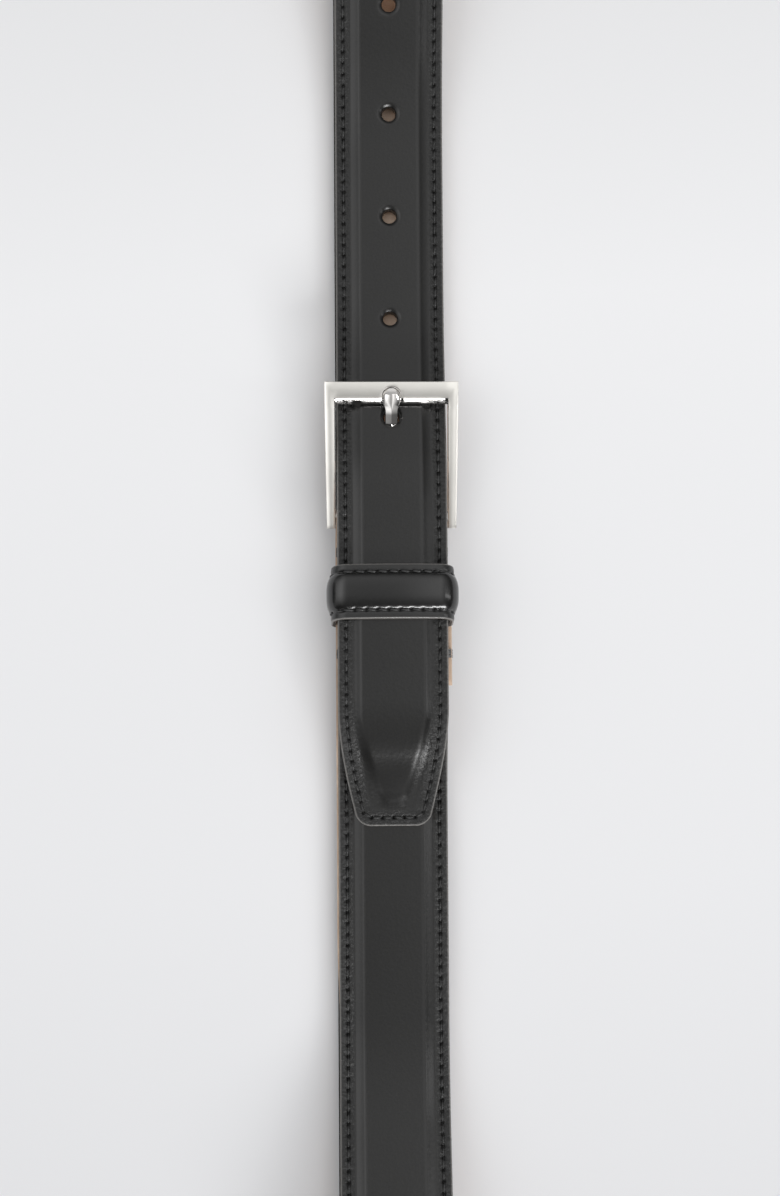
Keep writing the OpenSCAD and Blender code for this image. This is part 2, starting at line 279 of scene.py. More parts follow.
class Shell:
    """A closed sheet of leather: two grids over (across, along), joined at the rims."""

    def __init__(self, rows, across, top, low):
        """rows: values along; across: function row -> x values; top, low: heights of (x, s)."""
        self.s = np.repeat(np.asarray(rows)[:, None], len(across(rows[0])), axis=1)
        self.x = np.array([across(s) for s in rows])
        self.top = top
        self.nr, self.nc = self.s.shape
        self.pts = []
        self.add(self.x.ravel(), self.s.ravel(), top(self.x, self.s).ravel())
        self.add(self.x.ravel(), self.s.ravel(), low(self.x, self.s).ravel())
        self.faces = []
        self.closed = np.zeros((self.nr - 1, self.nc - 1), bool)

    def add(self, x, s, h):
        first = sum(len(p) for p in self.pts)
        self.pts.append(np.stack([x, s, h], axis=1))
        return first + np.arange(len(x))

    def top_at(self, i, j):
        return i * self.nc + j

    def low_at(self, i, j):
        return self.nr * self.nc + i * self.nc + j

    def border(self, i0, i1, j0, j1):
        """A block's border, in turn round it, and the points on it of both grids."""
        ring = [(i0, j) for j in range(j0, j1)] + [(i, j1) for i in range(i0, i1)]
        ring += [(i1, j) for j in range(j1, j0, -1)] + [(i, j0) for i in range(i1, i0, -1)]
        return ring, [self.top_at(*p) for p in ring], [self.low_at(*p) for p in ring]

    def bridge(self, a, b):
        n = len(a)
        for k in range(n):
            m = (k + 1) % n
            self.faces.append((a[k], a[m], b[m], b[k]))

    def ring_on(self, last, x, s, h):
        """A new ring of points, joined to the last one."""
        new = list(self.add(x, s, h))
        self.bridge(last, new)
        return new

    def slot(self, x_half, s0, s1):
        """A plain rectangular opening."""
        rows = self.s[:, 0]
        cols = self.x[0]
        i0, i1 = [int(np.argmin(abs(rows - v))) for v in (s0, s1)]
        j0, j1 = [int(np.argmin(abs(cols - v))) for v in (-x_half, x_half)]
        self.closed[i0:i1, j0:j1] = True
        self.bridge(*self.border(i0, i1, j0, j1)[1:])

    def hole(self, s_mid, rings, under, reach=4.2, stretch=0.0):
        """A round hole. rings: (radius, depth) pressed into the face from the outside in; under:
        (radius, height) rings from the wall's foot back out to the underside."""
        rows = self.s[:, 0]
        cols = self.x[0]
        i0 = int(np.searchsorted(rows, s_mid - reach - stretch)) - 1
        i1 = int(np.searchsorted(rows, s_mid + reach + stretch))
        j0 = int(np.argmin(abs(cols + reach)))
        j1 = int(np.argmin(abs(cols - reach)))
        self.closed[i0:i1, j0:j1] = True
        ring, last, down = self.border(i0, i1, j0, j1)
        bx = np.array([self.x[p] for p in ring])
        bs = np.array([self.s[p] for p in ring]) - s_mid
        turn = np.arctan2(bs / (reach + stretch), bx / reach)

        def loop(r):
            cx = r * np.cos(turn)
            cs = r * np.sin(turn) + stretch * np.tanh(3 * np.sin(turn))
            return cx, cs + s_mid

        far = loop(reach + 0.1)
        for f in (0.35, 0.7):
            x = bx * (1 - f) + far[0] * f * 0.93
            s = (bs + s_mid) * (1 - f) + (s_mid + (far[1] - s_mid) * 0.93) * f
            last = self.ring_on(last, x, s, self.top(x, s))
        for r, depth in rings:
            x, s = loop(r)
            last = self.ring_on(last, x, s, self.top(x, s) - depth)
        for r, h in under:
            x, s = loop(r)
            last = self.ring_on(last, x, s, np.full(len(x), h))
        self.bridge(last, down)

    def build(self, name, material, shift=None, grain=None, rim_highlight=None):
        for i, j in np.argwhere(~self.closed).tolist():
            quad = [(i, j), (i, j + 1), (i + 1, j + 1), (i + 1, j)]
            self.faces.append(tuple(self.top_at(*p) for p in quad))
            self.faces.append(tuple(self.low_at(*p) for p in quad[::-1]))
        self.bridge(*self.border(0, self.nr - 1, 0, self.nc - 1)[1:])
        pts = np.concatenate(self.pts)
        x = pts[:, 0] + (shift(pts[:, 1]) if shift else 0)
        uv = np.stack([pts[:, 0], pts[:, 1]], axis=1) * UV_PER_MM
        mask = grain(pts[:, 0], pts[:, 1]) if grain else None
        # The rim mask marks the painted highlight along the cut edges.
        edge = rim_highlight(pts[:, 0], pts[:, 1], pts[:, 2]) if rim_highlight else None
        return add_mesh(name, spot(x, pts[:, 1], pts[:, 2]), self.faces, material, uv, mask, edge)


def loft_faces(rings, corners, closed=False):
    """Faces over rings of points, capped, or closed from the last ring to the first."""
    faces = []
    for i in range(rings if closed else rings - 1):
        a, b = i * corners, (i + 1) % rings * corners
        for k in range(corners):
            m = (k + 1) % corners
            faces.append((a + k, a + m, b + m, b + k))
    if not closed:
        faces.append(tuple(range(corners - 1, -1, -1)))
        faces.append(tuple(range((rings - 1) * corners, rings * corners)))
    return faces


def tube(centres, sides, ups, radii_x, radii_y, corners=8):
    """Points and faces of one capped tube through centres, with oval rings."""
    n = len(centres)
    turn = np.arange(corners) * 2 * np.pi / corners
    ring = [centres[i] + np.outer(np.cos(turn) * radii_x[i], sides[i])
            + np.outer(np.sin(turn) * radii_y[i], ups[i]) for i in range(n)]
    return np.concatenate(ring), loft_faces(n, corners)


class Bundle:
    """Many small tubes gathered into one mesh."""

    def __init__(self):
        self.pts = []
        self.faces = []
        self.count = 0

    def add(self, pts, faces):
        self.faces += [tuple(k + self.count for k in f) for f in faces]
        self.pts.append(pts)
        self.count += len(pts)

    def build(self, name, material):
        return add_mesh(name, np.concatenate(self.pts), self.faces, material)


def unit(v):
    return v / np.linalg.norm(v, axis=-1, keepdims=True)


def run_along(points):
    """The length from the first point of a line to each of its points."""
    return np.concatenate([[0], np.cumsum(np.linalg.norm(np.diff(points, axis=0), axis=1))])


def line_at(at, run, points):
    """Points of a line at those lengths along it."""
    return np.stack([np.interp(at, run, column) for column in points.T], axis=-1)


# ---- materials
def grey(v):
    return (v, v, v)


# Painted highlight: this paler colour on the rims of the cut edges stands in for light caught by
# the burnished edge.
RIM_HIGHLIGHT_COLOUR = (0.15, 0.144, 0.137)
UV_SCALE = (100, 100, 100)
EVEN = (1000, 1000, 1000)


class Graph:
    """Short calls for the nodes of one material or world, its owner."""

    def __init__(self, owner):
        self.owner = owner
        self.tree = owner.node_tree

    def put(self, value, socket):
        """Links an output to a socket, or sets the socket's own value."""
        if isinstance(value, bpy.types.NodeSocket):
            self.tree.links.new(value, socket)
        else:
            socket.default_value = value

    def node(self, kind, **values):
        """A new node with those settings and inputs."""
        node = self.tree.nodes.new(kind)
        for key, value in values.items():
            if hasattr(node, key):
                setattr(node, key, value)
            else:
                self.put(value, node.inputs[key])
        return node

    def place(self, source="Object", scale=EVEN):
        """Coordinates of that source, by default in millimetres."""
        coord = self.node("ShaderNodeTexCoord").outputs[source]
        return self.node("ShaderNodeMapping", Vector=coord, Scale=scale).outputs["Vector"]

    def noise(self, vector, scale, detail=3.0, rough=0.55):
        node = self.node("ShaderNodeTexNoise", Vector=vector, Scale=scale, Detail=detail,
                         Roughness=rough)
        return node.outputs["Fac"]

    def cells(self, vector, scale):
        return self.node("ShaderNodeTexVoronoi", Vector=vector, Scale=scale).outputs["Distance"]

    def math(self, kind, *values):
        node = self.node("ShaderNodeMath", operation=kind)
        for value, socket in zip(values, node.inputs):
            self.put(value, socket)
        return node.outputs[0]

    def ramp(self, factor, stops):
        node = self.node("ShaderNodeValToRGB", Fac=factor)
        elements = node.color_ramp.elements
        while len(elements) < len(stops):
            elements.new(0.5)
        for element, (at, colour) in zip(elements, stops):
            element.position = at
            element.color = (*colour, 1)
        return node.outputs["Color"]

    def levels(self, factor, stops):
        return self.ramp(factor, [(at, grey(level)) for at, level in stops])

    def mask(self, name="grain"):
        return self.node("ShaderNodeAttribute", attribute_name=name).outputs["Fac"]

    def with_rim_highlight(self, colour):
        """The leather's colour with a paler rim along its cut edges: a painted highlight, where the
        burnished edges catch the light.
        """
        mix = self.node("ShaderNodeMix", data_type="RGBA", Factor=self.mask("rim_highlight"), A=colour,
                        B=(*RIM_HIGHLIGHT_COLOUR, 1))
        return mix.outputs["Result"]

    def paint(self, colour):
        self.put(colour, self.shader.inputs["Base Color"])

    def dull(self, amount, weight, least):
        """Roughness of least plus weight times amount."""
        roughness = self.math("MULTIPLY_ADD", amount, weight, least)
        self.put(roughness, self.shader.inputs["Roughness"])

    def bump(self, height, strength, distance):
        node = self.node("ShaderNodeBump", Height=height, Strength=strength,
                         Distance=distance * MM)
        self.put(node.outputs["Normal"], self.shader.inputs["Normal"])

    def bump_by_mask(self, pebble, weight, fine, least, strength, distance):
        """Pebbled grain that is full where the grain mask is 1 and faint where it is 0."""
        grain = self.math("MULTIPLY_ADD", pebble, weight, fine)
        level = self.math("MULTIPLY_ADD", self.mask(), 1 - least, least)
        self.bump(self.math("MULTIPLY", grain, level), strength, distance)


def new_material(name, colour, roughness, metallic=0.0, specular=0.5, coat=0.0, coat_rough=0.1,
                 sheen=0.0):
    """A Principled material, given back as the graph of its nodes."""
    mat = bpy.data.materials.new(name)
    mat.use_nodes = True
    mat.diffuse_color = (*colour, 1)
    g = Graph(mat)
    g.shader = mat.node_tree.nodes["Principled BSDF"]
    for key, value in (("Base Color", (*colour, 1)), ("Metallic", metallic),
                       ("Roughness", roughness), ("Specular IOR Level", specular),
                       ("Coat Weight", coat), ("Coat Roughness", coat_rough),
                       ("Sheen Weight", sheen)):
        g.shader.inputs[key].default_value = value
    return g


def black_leather():
    """Black calf: a smooth glazed crown and margins whose grain shows."""
    g = new_material("black_leather", (0.007, 0.007, 0.0068), 0.34, coat=0.07, coat_rough=0.18)
    uv = g.place("UV", UV_SCALE)
    tone = g.noise(uv, 1.7, 4.0)
    g.paint(g.with_rim_highlight(g.ramp(tone, [(0.25, (0.0055, 0.0055, 0.0053)),
                                    (0.8, (0.011, 0.0107, 0.0102))])))
    g.dull(g.noise(uv, 0.05, 2.0), 0.10, g.math("MULTIPLY_ADD", g.mask(), 0.08, 0.27))
    g.bump_by_mask(g.cells(uv, 0.95), 0.8, g.noise(uv, 1.6, 4.0, 0.7), 0.08, 0.9, 0.34)
    return g.owner


def keeper_leather():
    """The keeper's leather is glazed smoother than the strap's margins."""
    g = new_material("keeper_leather", (0.0065, 0.0065, 0.0064), 0.22, coat=0.3)
    uv = g.place("UV", UV_SCALE)
    tone = g.noise(uv, 1.2, 4.0)
    g.paint(g.with_rim_highlight(g.ramp(tone, [(0.25, (0.0045, 0.0045, 0.0044)),
                                    (0.8, (0.0095, 0.0093, 0.009))])))
    g.dull(tone, 0.05, g.math("MULTIPLY_ADD", g.mask(), 0.16, 0.2))
    g.bump_by_mask(g.cells(uv, 2.4), 0.7, g.noise(uv, 6.0, 4.0, 0.65), 0.06, 0.5, 0.1)
    return g.owner


def tan_lining():
    """Natural tan lining leather, brushed on its face."""
    g = new_material("tan_lining", (0.42, 0.26, 0.15), 0.62, sheen=0.15)
    uv = g.place("UV", UV_SCALE)
    cloud = g.noise(uv, 0.22, 5.0)
    fleck = g.noise(uv, 3.4, 5.0, 0.7)
    both = g.math("MULTIPLY_ADD", fleck, 0.45, g.math("MULTIPLY", cloud, 0.55))
    g.paint(g.ramp(both, [(0.3, (0.46, 0.31, 0.21)), (0.55, (0.61, 0.46, 0.35)),
                          (0.75, (0.73, 0.6, 0.49))]))
    g.dull(fleck, 0.2, 0.52)
    g.bump(g.math("ADD", fleck, g.cells(uv, 2.6)), 0.45, 0.09)
    return g.owner


def one_noise(g, scale, noise, low, high, bump, rough=None):
    """Colour, roughness and bump that follow one noise, stretched by scale."""
    amount = g.noise(g.place(scale=scale), *noise)
    g.paint(g.ramp(amount, [(0.3, low), (high[0], high[1])]))
    if rough:
        g.dull(amount, *rough)
    g.bump(amount, *bump)
    return g.owner


def dark_lining():
    g = new_material("keeper_lining", (0.03, 0.022, 0.017), 0.7, sheen=0.1)
    return one_noise(g, EVEN, (2.6, 5.0, 0.7), (0.016, 0.012, 0.010),
                     (0.75, (0.05, 0.037, 0.028)), (0.5, 0.1))


def core_board():
    """Fibre board between the leathers, with fibres along the strap."""
    g = new_material("core_board", (0.25, 0.16, 0.09), 0.85)
    return one_noise(g, (1000, 300, 1000), (3.0, 6.0, 0.75), (0.15, 0.09, 0.05),
                     (0.7, (0.34, 0.23, 0.14)), (0.6, 0.1))


def black_thread():
    """Waxed, twisted polyester thread."""
    g = new_material("black_thread", grey(0.02), 0.3)
    at = g.place()
    wave = g.node("ShaderNodeTexWave", bands_direction="DIAGONAL", Vector=at, Scale=1.6,
                  Distortion=0.6)
    lint = g.noise(at, 5.0, 4.0)
    g.paint(g.ramp(lint, [(0.3, grey(0.02)), (0.8, grey(0.06))]))
    g.dull(lint, 0.25, 0.18)
    g.bump(g.math("MULTIPLY_ADD", lint, 0.4, wave.outputs["Fac"]), 0.6, 0.07)
    return g.owner


def satin_nickel():
    """Nickel plate with a fine lay brushed along the belt."""
    g = new_material("satin_nickel", (0.86, 0.84, 0.8), 0.3, metallic=1.0)
    brushed = g.noise(g.place(scale=(9000, 350, 9000)), 1.0, 4.0, 0.7)
    cloud = g.noise(g.place(), 0.16, 3.0)
    g.paint(g.ramp(cloud, [(0.3, (0.83, 0.81, 0.765)), (0.75, (0.89, 0.87, 0.825))]))
    g.dull(brushed, 0.12, 0.25)
    g.bump(brushed, 0.12, 0.02)
    return g.owner


def polished_nickel():
    g = new_material("polished_nickel", (0.86, 0.84, 0.815), 0.07, metallic=1.0)
    return one_noise(g, EVEN, (0.9, 4.0, 0.6), (0.83, 0.81, 0.785),
                     (0.75, (0.88, 0.86, 0.84)), (0.03, 0.01), (0.08, 0.04))


def steel_pin():
    """Drawn steel, its lay along the heel bar."""
    g = new_material("steel_pin", grey(0.6), 0.3, metallic=1.0)
    return one_noise(g, (250, 6000, 6000), (1.0, 4.0, 0.7), grey(0.5), (0.75, grey(0.66)),
                     (0.2, 0.02), (0.2, 0.2))


FLOOR_SHADE_SPAN = 400


def floor_paper():
    """White paper with painted shade: darker towards the front and a little darker at the back."""
    g = new_material("floor_paper", (0.84, 0.842, 0.856), 0.9, specular=0.1)
    # The ramp over Y paints shade onto the floor, darkest at the front.
    split = g.node("ShaderNodeSeparateXYZ", Vector=g.place())
    along = g.math("MULTIPLY_ADD", split.outputs["Y"], 1 / FLOOR_SHADE_SPAN, 0.5)
    soft = g.math("MULTIPLY_ADD", g.noise(g.place(), 0.004, 2.0), 0.1, along)
    g.paint(g.ramp(soft, [(0.1, (0.72, 0.723, 0.738)), (0.35, (0.79, 0.793, 0.808)),
                          (0.75, (0.85, 0.853, 0.866)), (0.97, (0.8, 0.803, 0.815))]))
    return g.owner


LEATHER = black_leather()
KEEPER_LEATHER = keeper_leather()
TAN = tan_lining()
DARK = dark_lining()
BOARD = core_board()
THREAD = black_thread()
SATIN = satin_nickel()
POLISHED = polished_nickel()
STEEL = steel_pin()


# ---- the strap's section
EDGE_R = 0.55
LINING_EDGE_R = 0.35
CROWN_BULGE = 0.1
DOME_X = 9.3
GRAIN_X = 10.6
GROOVE = 0.14
GROOVE_W = 0.42
NEEDLE = 0.95
NEEDLE_L = 0.46
TAIL_NEEDLE_R = 0.38
S_FIRST = S_CORE + STITCH
BACK_SHIFT = -0.35
FLAP_SKEW = 1.45
LINING_SHIFT = -0.5


def on_back_run(s):
    """1 along the rear half of the loop, fading out past both end bends."""
    return smooth((s - marks[FIRST_BEND]) / 30) * smooth((marks[LAST_BEND_END] - s) / 30)


def shift(s):
    """How far the strap lies off its middle line: the flap is skewed, the back run is askew."""
    s = np.asarray(s, float)
    flap_y = starts[0][0] + s
    flap = FLAP_SKEW * smooth((KEEPER_Y + 3 - flap_y) / 11) * (s < FLAP_L)
    return flap + BACK_SHIFT * on_back_run(s)


def edge_drop(inset, r=EDGE_R):
    """How far a rounded edge lies back at a distance in from it."""
    e = np.clip(r - inset, 0, r)
    return r - np.sqrt(np.maximum(r ** 2 - e ** 2, 0))


def seam_press(across, along):
    """Depth of the seam's groove and needle holes; along is counted from a needle hole."""
    d = np.abs(along / STITCH - np.round(along / STITCH)) * STITCH
    groove = np.exp(-(across / GROOVE_W) ** 2)
    return groove * (GROOVE + NEEDLE * np.exp(-(d / NEEDLE_L) ** 2))


def strap_top(x, s):
    x, s = same_shape(x, s)
    ax = np.abs(x)
    raised = smooth((s - S_CORE) / 2.5)
    rise = np.clip((SHOULDER_X - ax) / (SHOULDER_X - SHOULDER_IN), 0, 1) ** 1.5
    dome = np.clip(1 - (ax / DOME_X) ** 2, 0, 1)
    h = MARGIN_H + (CORE_T * rise + CROWN_BULGE * dome) * raised
    h = h - seam_press(ax - (HALF_W - SEAM_IN), s - S_FIRST) * raised
    return h - edge_drop(HALF_W - ax)


def strap_low(x, s):
    x, s = same_shape(x, s)
    pocket = (np.abs(x) < CROWN_X + 0.1) & (s > S_CORE + 0.8)
    return LINING_T + 0.01 + (CORE_T + 0.01) * pocket


def strap_grain(x, s):
    return smooth((np.abs(x) - GRAIN_X) / 0.9)


def rim_highlight_of(inset, h):
    """Where the painted highlight lies: a narrow band on the rounded edge, and the upper side of
    the cut.
    """
    return smooth((0.5 - inset) / 0.22) * (h > LINING_T + 0.2)


def strap_rim_highlight(x, s, h):
    return rim_highlight_of(HALF_W - np.abs(x), h)


HALF_COLUMNS = [0, 0.9, 1.8, 2.5, 3.3, 4.2, 5.2, 6.3, 7.3, 8.1, 8.5, 8.75, 9.0, 9.3, 9.38, 9.65,
                9.95, 10.3, 10.65, 10.95, 11.2, 11.6, 12.05, 12.3, 12.5, 12.7, 12.9, 13.1, 13.35,
                14.0, 14.4, 14.58, 14.72, 14.85, 14.95, 15.0]


def mirrored(half):
    """Columns on both sides of the middle, from those at 0 and to its right."""
    return np.array([-v for v in half[:0:-1]] + half)


def merge_rows(values, least=0.12):
    rows = []
    for v in sorted(values):
        if not rows or v - rows[-1] >= least:
            rows.append(v)
    return rows


COLUMNS = mirrored(HALF_COLUMNS)
ROWS_PER_STITCH = np.array([0.0, 0.42, 0.85, 1.5, 2.15, 2.58])
first_k = int(S_FIRST // STITCH)
stitch_starts = S_FIRST + STITCH * np.arange(-first_k, int((S_JOIN - S_FIRST) // STITCH) + 1)
rows = list((stitch_starts[:, None] + ROWS_PER_STITCH).ravel())
FOLD_ROWS = list(np.arange(marks[FOLD_START] - 0.6, marks[FOLD_END] + 0.6, 0.3))
rows += FOLD_ROWS
rows = [0.0] + [v for v in merge_rows(rows) if 0.2 < v < S_JOIN - 0.2] + [S_JOIN]

PEG_RINGS = [(3.45, 0.0), (3.2, 0.015), (2.95, 0.06), (2.7, 0.16), (2.48, 0.3), (2.3, 0.42),
             (2.16, 0.52), (2.05, 0.64), (1.97, 0.82), (HOLE_R, 1.05)]
PEG_UNDER = [(HOLE_R, 1.6), (HOLE_R, 0.4), (1.98, 0.36), (2.0, LINING_T + CORE_T + 0.02)]
SLOT_GROW = 0.12
SLOT_MOVE = -0.1
SLOT_STRETCH = 0.1
SLOT_RINGS = [(r + SLOT_GROW, d) for r, d in PEG_RINGS]
SLOT_UNDER = [(r + SLOT_GROW, h) for r, h in PEG_UNDER]
# Half the width of the prong's slot in the fold, and where along the strap it starts and ends.
PRONG_SLOT = (2.5, marks[FOLD_START] + 0.2, marks[FOLD_END] - 0.2)
hole_marks = [s_on_top(y) for y in HOLE_Y]

leather = Shell(rows, lambda s: COLUMNS, strap_top, strap_low)
leather.slot(*PRONG_SLOT)
leather.hole(hole_marks[0] + SLOT_MOVE, SLOT_RINGS, SLOT_UNDER, stretch=SLOT_STRETCH)
for s_mid in hole_marks[1:]:
    leather.hole(s_mid, PEG_RINGS, PEG_UNDER)
strap_leather = leather.build("strap_leather", LEATHER, shift, strap_grain, strap_rim_highlight)
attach(strap_leather, "strap")
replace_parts(strap_leather, "strap_outer")


# Tan lining, which shows at the strap's left edge.
def lining_top(x, s):
    return np.full(np.broadcast(x, s).shape, LINING_T - 0.01)


def lining_low(x, s):
    return edge_drop(HALF_W - np.abs(x), LINING_EDGE_R) + 0 * np.asarray(s)


def lining_shift(s):
    s = np.asarray(s, float)
    front = smooth((s - FLAP_L - 2) / 10) * smooth((marks[RISE_START] - s) / 20)
    return shift(s) + LINING_SHIFT * front - 1.4 * BACK_SHIFT * on_back_run(s)


LINING_HALF = [0, 2.5, 4.2, 7.0, 9.5, 12.0, 12.7, 13.4, 14.2, 14.65, 14.78, 14.9, 14.97, 15.0]
LINING_COLUMNS = mirrored(LINING_HALF)
lining_rows = merge_rows(list(np.arange(0.0, S_JOIN - 0.5, 2.0)) + FOLD_ROWS) + [S_JOIN]
sheet = Shell(lining_rows, lambda s: LINING_COLUMNS, lining_top, lining_low)
sheet.slot(*PRONG_SLOT)
slot_r = HOLE_R + SLOT_GROW + 0.1
sheet.hole(hole_marks[0] + SLOT_MOVE, [(slot_r, 0.0)], [(slot_r, 0.02)], stretch=SLOT_STRETCH)
for s_mid in hole_marks[1:]:
    sheet.hole(s_mid, [(2.03, 0.0)], [(2.03, 0.02)])
strap_lining = sheet.build("strap_lining_leather", TAN, lining_shift)
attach(strap_lining, "strap")
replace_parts(strap_lining, "strap_lining")


# ---- the free tail
CORNER_R = 3.3
END_HALF = 9.6
TAPER_Y = BAR_Y - TAPER_BACK
TAPER_POWER = 1.58
CROWN_TAPER_Y = TAPER_Y - 2.0
CROWN_END_Y = TIP_Y + 4.7
CROWN_END_X = 1.0
CROWN_TOP_X = 8.4
SHOULDER_W = 4.3


def down_taper(y):
    """0 where the taper starts, 1 at the tip."""
    return np.clip((TAPER_Y - y) / (TAPER_Y - TIP_Y), 0, 1)


def side_x(y):
    return HALF_W - (HALF_W - END_HALF) * down_taper(y) ** TAPER_POWER


def side_cos(y):
    rate = TAPER_POWER * down_taper(y) ** (TAPER_POWER - 1)
    slope = (HALF_W - END_HALF) * rate / (TAPER_Y - TIP_Y)
    return 1 / np.sqrt(1 + slope ** 2)


def tip_inset(x, y):
    """Distance inwards from the tail's outline, with its rounded corners."""
    a = CORNER_R - (side_x(y) - np.abs(x)) * side_cos(y)
    b = CORNER_R - (y - TIP_Y)
    away = np.hypot(np.maximum(a, 0), np.maximum(b, 0))
    return CORNER_R - away - np.minimum(np.maximum(a, b), 0)


def edge_x(y, inset=0.0):
    """Half the width at y of the outline drawn in by inset."""
    b = np.clip(CORNER_R - (y - TIP_Y), 0, CORNER_R - inset)
    a = np.sqrt(np.maximum((CORNER_R - inset) ** 2 - b ** 2, 0))
    return side_x(y) - (CORNER_R - a) / side_cos(y)


def crown_half(y):
    """Half the width at y of the crown's level top."""
    slope = (CROWN_TOP_X - CROWN_END_X) / (CROWN_TAPER_Y - CROWN_END_Y)
    return CROWN_TOP_X - slope * np.clip(CROWN_TAPER_Y - y, 0, CROWN_TAPER_Y - CROWN_END_Y)


def crown_rise(x, y):
    """1 on the tail's raised middle, 0 outside its shoulder."""
    inner = HALF_W - SHOULDER_X - 0.45 * smooth((TAPER_Y - 4 - y) / 16)
    half = crown_half(y)
    out = np.hypot(np.maximum(np.abs(x) - half, 0) * 0.97, np.maximum(CROWN_END_Y - y, 0))
    room = np.maximum(tip_inset(x, y) - inner, 0)
    width = np.minimum(room + out, SHOULDER_W) + 1e-6
    rise = smooth(np.clip(1 - out / width, 0, 1) ** 1.2)
    fade = smooth((y - CROWN_END_Y + 2.0) / 7)
    return rise * fade, np.clip(1 - (x / (half + 0.4)) ** 2, 0, 1)


def tail_y(s):
    return np.interp(s, TABLE_S, TABLE[:, 0])


last_k = int((S_JOIN - S_FIRST) // STITCH)
S_LAST = S_FIRST + last_k * STITCH
path_y = np.concatenate([np.arange(tail_y(S_LAST), TIP_Y + 4, -0.1),
                         TIP_Y + SEAM_IN + 1.7 * (1 - np.sin(np.linspace(0, np.pi / 2, 60)))])
path_x = edge_x(path_y, SEAM_IN)
half_path = np.stack([path_x, path_y], axis=1)
across_end = np.stack([np.linspace(path_x[-1], 0, 60)[1:], np.full(59, path_y[-1])], axis=1)
half_path = np.concatenate([half_path, across_end])
seam_path = np.concatenate([half_path, half_path[-2::-1] * [-1, 1]])
seam_run = run_along(seam_path)
seam_count = int(round(seam_run[-1] / STITCH))
NEEDLES = line_at(np.linspace(0, seam_run[-1], seam_count + 1), seam_run, seam_path)


def tail_press(x, y):
    groove = GROOVE * np.exp(-((tip_inset(x, y) - SEAM_IN) / GROOVE_W) ** 2)
    far = np.full(np.shape(x), 9.0)
    for nx, ny in NEEDLES:
        far = np.minimum(far, (x - nx) ** 2 + (y - ny) ** 2)
    return groove + NEEDLE * np.exp(-far / TAIL_NEEDLE_R ** 2)


def tail_top(x, s):
    x, s = same_shape(x, s)
    y = tail_y(s)
    rise, dome = crown_rise(x, y)
    h = MARGIN_H + CORE_T * rise + CROWN_BULGE * dome * rise - tail_press(x, y)
    return h - edge_drop(tip_inset(x, y))


def tail_low(x, s):
    x, s = same_shape(x, s)
    rise = crown_rise(x, tail_y(s))[0]
    return np.maximum(LINING_T + 0.01, MARGIN_H + CORE_T * rise - OUTER_T + 0.02)


def tail_grain(x, s):
    y = tail_y(s)
    by_seam = smooth((5.2 - tip_inset(x, y)) / 1.8)
    return smooth(1 - crown_rise(x, y)[0] * 1.6) * (0.25 + 0.75 * by_seam)


TAIL_HALF = [0.45 * k for k in range(23)] + [v for v in HALF_COLUMNS if v > 10.2]
TAIL_COLUMNS = mirrored(TAIL_HALF)
MIDDLE = 10.0


def tail_across(s):
    """Columns keep their distance from the edge on the margins and share out the middle."""
    w = float(edge_x(tail_y(s)))
    c = np.abs(TAIL_COLUMNS)
    inner = w - (HALF_W - MIDDLE)
    x = np.where(c > MIDDLE, w - (HALF_W - c), c * inner / MIDDLE)
    return np.sign(TAIL_COLUMNS) * x


TIP_INSETS = [3.3, 3.05, 2.8, 2.6, 2.42, 2.3, 2.18, 2.0, 1.75, 1.5, 1.2, 0.95, 0.75, 0.58, 0.42,
              0.34, 0.27, 0.2, 0.14, 0.09, 0.05, 0.02, 0.0]
tail_rows = list(np.arange(S_JOIN, S_TIP - 3.6, 0.45)) + [S_TIP - v for v in TIP_INSETS]
tail_leather = Shell(tail_rows, tail_across, tail_top, tail_low).build(
    "tail_leather", LEATHER, None, tail_grain,
    lambda x, s, h: rim_highlight_of(tip_inset(x, tail_y(s)), h))


def tail_lining_low(x, s):
    return edge_drop(tip_inset(x, tail_y(s)), LINING_EDGE_R)


tail_lining = Shell(tail_rows, tail_across, lining_top, tail_lining_low).build(
    "tail_lining_leather", TAN, lining_shift)


def board_across(s):
    half = crown_half(tail_y(s))
    return np.linspace(-half, half, 9)


board_rows = np.linspace(S_JOIN, s_on_top(CROWN_END_Y + 6.7), 40)
tail_board = Shell(board_rows, board_across,
                   lambda x, s: np.full(x.shape, LINING_T + CORE_T - 0.02),
                   lambda x, s: np.full(x.shape, LINING_T + 0.02)).build("tail_board", BOARD)


def bend_with_tail(piece, nodes):
    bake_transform(piece)
    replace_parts(piece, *nodes)


bend_with_tail(tail_leather, ["tail_outer"])
bend_with_tail(tail_lining, ["tail_lining"])
bend_with_tail(tail_board, ["tail_core"])


# ---- stitches
STITCH_AT = np.array([0.0, 0.08, 0.24, 0.5, 0.76, 0.92, 1.0])
STITCH_SIZE = np.array([0.7, 0.85, 1.0, 1.05, 1.0, 0.85, 0.7])
STITCH_LIFT = np.array([-0.75, -0.26, 0.06, 0.15, 0.06, -0.26, -0.75])
THREAD_R = 0.23


def stitch(bundle, a, b, up, slant, radius=THREAD_R, corners=7):
    """One stitch from needle hole a to needle hole b, its ends drawn into the leather."""
    along = b - a
    side = unit(np.cross(along, up))
    centres = a + np.outer(0.06 + 0.88 * STITCH_AT, along) + np.outer(STITCH_LIFT, up)
    centres = centres + np.outer((STITCH_AT - 0.5) * 2 * slant, side)
    n = len(STITCH_AT)
    pts, faces = tube(centres, [side] * n, [up] * n, STITCH_SIZE * radius,
                      STITCH_SIZE * radius * 0.82, corners)
    bundle.add(pts, faces)


def up_at(s):
    a = math.radians(float(np.interp(s, TABLE_S, TABLE[:, 2])))
    return np.array([0.0, math.sin(a), -math.cos(a)])


SEAM_H = MARGIN_H - 0.1


